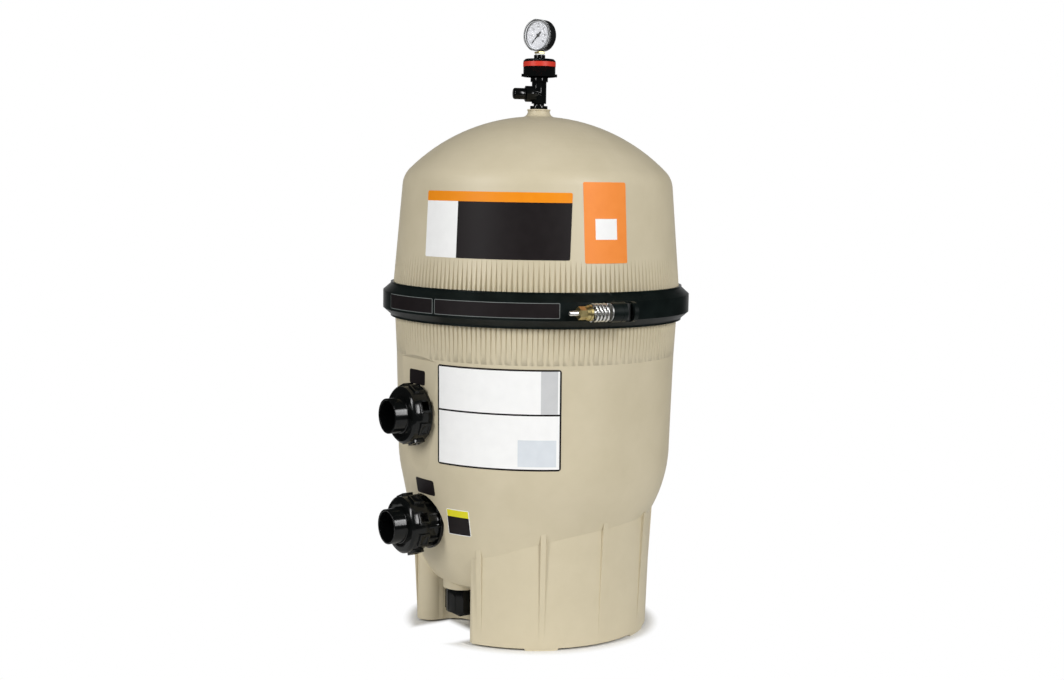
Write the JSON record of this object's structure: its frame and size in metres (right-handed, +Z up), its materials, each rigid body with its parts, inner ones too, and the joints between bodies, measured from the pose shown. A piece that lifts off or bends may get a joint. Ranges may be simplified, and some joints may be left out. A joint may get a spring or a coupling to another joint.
{
  "type": "pool cartridge filter",
  "caption": "Free-standing two-part filter tank with clamped domed lid, pleated cartridges inside, side unions, drain plug, air relief valve and pressure gauge.",
  "frame": {"origin": "on the floor, under the tank's axis", "axes": "+Z up along the tank axis; the inlet and outlet unions face -Y; the clamp bolt is on the +X side"},
  "size_m": [0.5791, 0.5776, 1.0789],
  "materials": {
    "tank_moulding": "satin moulded, slightly grained",
    "black_fitting": "glossy moulded",
    "clamp_moulding": "semi-matte moulded",
    "seal_rubber": "matte",
    "plated_steel": "bright plated",
    "brass": "turned",
    "filter_fabric": "pleated polyester felt",
    "cartridge_cap": "cast, slightly soft",
    "white_plastic": "moulded",
    "grey_plastic": "moulded",
    "dial_face": "matte white print ground",
    "clear_lens": "clear polycarbonate",
    "gauge_enamel": "black enamel",
    "thread_tape": "wound tape"
  },
  "bodies": {
    "tank": {"tank_shell": "tank_moulding", "tank_seal": "seal_rubber", "inlet_bulkhead": "black_fitting", "inlet_gasket": "seal_rubber", "inlet_locknut": "black_fitting", "inlet_diffuser": "grey_plastic", "inlet_union_seal": "seal_rubber", "outlet_bulkhead": "black_fitting", "outlet_gasket": "seal_rubber", "outlet_locknut": "black_fitting", "outlet_union_seal": "seal_rubber", "outlet_pipe": "grey_plastic", "bottom_manifold": "grey_plastic", "drain_fitting": "black_fitting", "drain_gasket": "seal_rubber"},
    "inlet_tail": {"inlet_tailpiece": "black_fitting"},
    "inlet_nut": {"inlet_union_nut": "black_fitting"},
    "outlet_tail": {"outlet_tailpiece": "black_fitting"},
    "outlet_nut": {"outlet_union_nut": "black_fitting"},
    "drain_carrier": {"drain_seal": "seal_rubber"},
    "drain_plug": {"drain_plug": "black_fitting"},
    "cartridge_1": {"cartridge_media_1": "filter_fabric", "cartridge_caps_1": "cartridge_cap", "cartridge_core_1": "white_plastic"},
    "cartridge_2": {"cartridge_media_2": "filter_fabric", "cartridge_caps_2": "cartridge_cap", "cartridge_core_2": "white_plastic"},
    "cartridge_3": {"cartridge_media_3": "filter_fabric", "cartridge_caps_3": "cartridge_cap", "cartridge_core_3": "white_plastic"},
    "cartridge_4": {"cartridge_media_4": "filter_fabric", "cartridge_caps_4": "cartridge_cap", "cartridge_core_4": "white_plastic"},
    "manifold": {"top_manifold": "grey_plastic", "air_bleed_tube": "white_plastic", "air_bleed_strainer": "white_plastic"},
    "lid": {"lid_shell": "tank_moulding", "clamp_ring": "clamp_moulding", "clamp_bolt": "plated_steel", "clamp_spring": "plated_steel", "clamp_lug_washer": "plated_steel", "valve_body": "black_fitting", "valve_seal": "seal_rubber", "gauge_bushing": "black_fitting", "thread_tape": "thread_tape", "gauge_stem": "brass", "gauge_case": "gauge_enamel", "gauge_bezel": "gauge_enamel", "gauge_dial": "dial_face", "gauge_lens": "clear_lens", "bourdon_tube": "brass"},
    "clamp_washer": {"clamp_nut_washer": "brass"},
    "clamp_nut": {"clamp_nut": "brass"},
    "valve_knob": {"valve_knob": "black_fitting"},
    "vent_carrier": {"vent_gasket": "seal_rubber"},
    "vent_cap": {"vent_cap": "black_fitting"},
    "needle": {"gauge_needle": "gauge_enamel"}
  },
  "joints": [
    {"name": "lid_lift", "type": "slide", "parent": "tank", "child": "lid", "axis": [0, 0, 1], "range_m": [0, 0.9], "deforming": ["clamp_ring"]},
    {"name": "manifold_lift", "type": "slide", "parent": "tank", "child": "manifold", "axis": [0, 0, 1], "range_m": [0, 0.56]},
    {"name": "cartridge_lift_1", "type": "slide", "parent": "tank", "child": "cartridge_1", "axis": [0, 0, 1], "range_m": [0, 0.36]},
    {"name": "cartridge_lift_2", "type": "slide", "parent": "tank", "child": "cartridge_2", "axis": [0, 0, 1], "range_m": [0, 0.36]},
    {"name": "cartridge_lift_3", "type": "slide", "parent": "tank", "child": "cartridge_3", "axis": [0, 0, 1], "range_m": [0, 0.36]},
    {"name": "cartridge_lift_4", "type": "slide", "parent": "tank", "child": "cartridge_4", "axis": [0, 0, 1], "range_m": [0, 0.36]},
    {"name": "inlet_tail_slide", "type": "slide", "parent": "tank", "child": "inlet_tail", "axis": [0, -1, 0], "range_m": [0, 0.02]},
    {"name": "inlet_nut_turn", "type": "hinge", "parent": "inlet_tail", "child": "inlet_nut", "pos_m": [0, -0.26, 0.395], "axis": [0, -1, 0], "range_deg": [0, 1440]},
    {"name": "outlet_tail_slide", "type": "slide", "parent": "tank", "child": "outlet_tail", "axis": [0, -1, 0], "range_m": [0, 0.02]},
    {"name": "outlet_nut_turn", "type": "hinge", "parent": "outlet_tail", "child": "outlet_nut", "pos_m": [0, -0.26, 0.204], "axis": [0, -1, 0], "range_deg": [0, 1440]},
    {"name": "drain_slide", "type": "slide", "parent": "tank", "child": "drain_carrier", "axis": [0, 0, -1], "range_m": [0, 0.012]},
    {"name": "drain_plug_turn", "type": "hinge", "parent": "drain_carrier", "child": "drain_plug", "pos_m": [0, -0.15, 0.04], "axis": [0, 0, -1], "range_deg": [0, 1080]},
    {"name": "clamp_washer_slide", "type": "slide", "parent": "lid", "child": "clamp_washer", "axis": [-0.1219, -0.9925, 0], "range_m": [0, 0.012], "deforming": ["clamp_spring"]},
    {"name": "clamp_nut_turn", "type": "hinge", "parent": "clamp_washer", "child": "clamp_nut", "pos_m": [0.28635, -0.03516, 0.585], "axis": [-0.1219, -0.9925, 0], "range_deg": [0, 2880]},
    {"name": "vent_slide", "type": "slide", "parent": "lid", "child": "vent_carrier", "axis": [-0.342, -0.9397, 0], "range_m": [0, 0.01]},
    {"name": "vent_cap_turn", "type": "hinge", "parent": "vent_carrier", "child": "vent_cap", "pos_m": [0, 0, 0.94823], "axis": [-0.342, -0.9397, 0], "range_deg": [0, 1800]},
    {"name": "knob_turn", "type": "hinge", "parent": "lid", "child": "valve_knob", "pos_m": [0, 0, 0.97823], "axis": [0, 0, 1], "range_deg": [0, 90]},
    {"name": "needle_turn", "type": "hinge", "parent": "lid", "child": "needle", "pos_m": [0, 0, 1.05063], "axis": [-0.309, 0.9511, 0], "range_deg": [0, 270], "stiffness_Nm_per_rad": 0.0005}
  ],
  "couplings": [
    {"joint": "manifold_lift", "follows": "lid_lift", "ratio": 0.62},
    {"joint": "cartridge_lift_1", "follows": "lid_lift", "ratio": 0.4},
    {"joint": "cartridge_lift_2", "follows": "lid_lift", "ratio": 0.4},
    {"joint": "cartridge_lift_3", "follows": "lid_lift", "ratio": 0.4},
    {"joint": "cartridge_lift_4", "follows": "lid_lift", "ratio": 0.4},
    {"joint": "inlet_tail_slide", "follows": "inlet_nut_turn", "m_per_rad": 0.00079577},
    {"joint": "outlet_tail_slide", "follows": "outlet_nut_turn", "m_per_rad": 0.00079577},
    {"joint": "drain_slide", "follows": "drain_plug_turn", "m_per_rad": 0.00063662},
    {"joint": "clamp_washer_slide", "follows": "clamp_nut_turn", "m_per_rad": 0.00023873},
    {"joint": "vent_slide", "follows": "vent_cap_turn", "m_per_rad": 0.00031831}
  ]
}
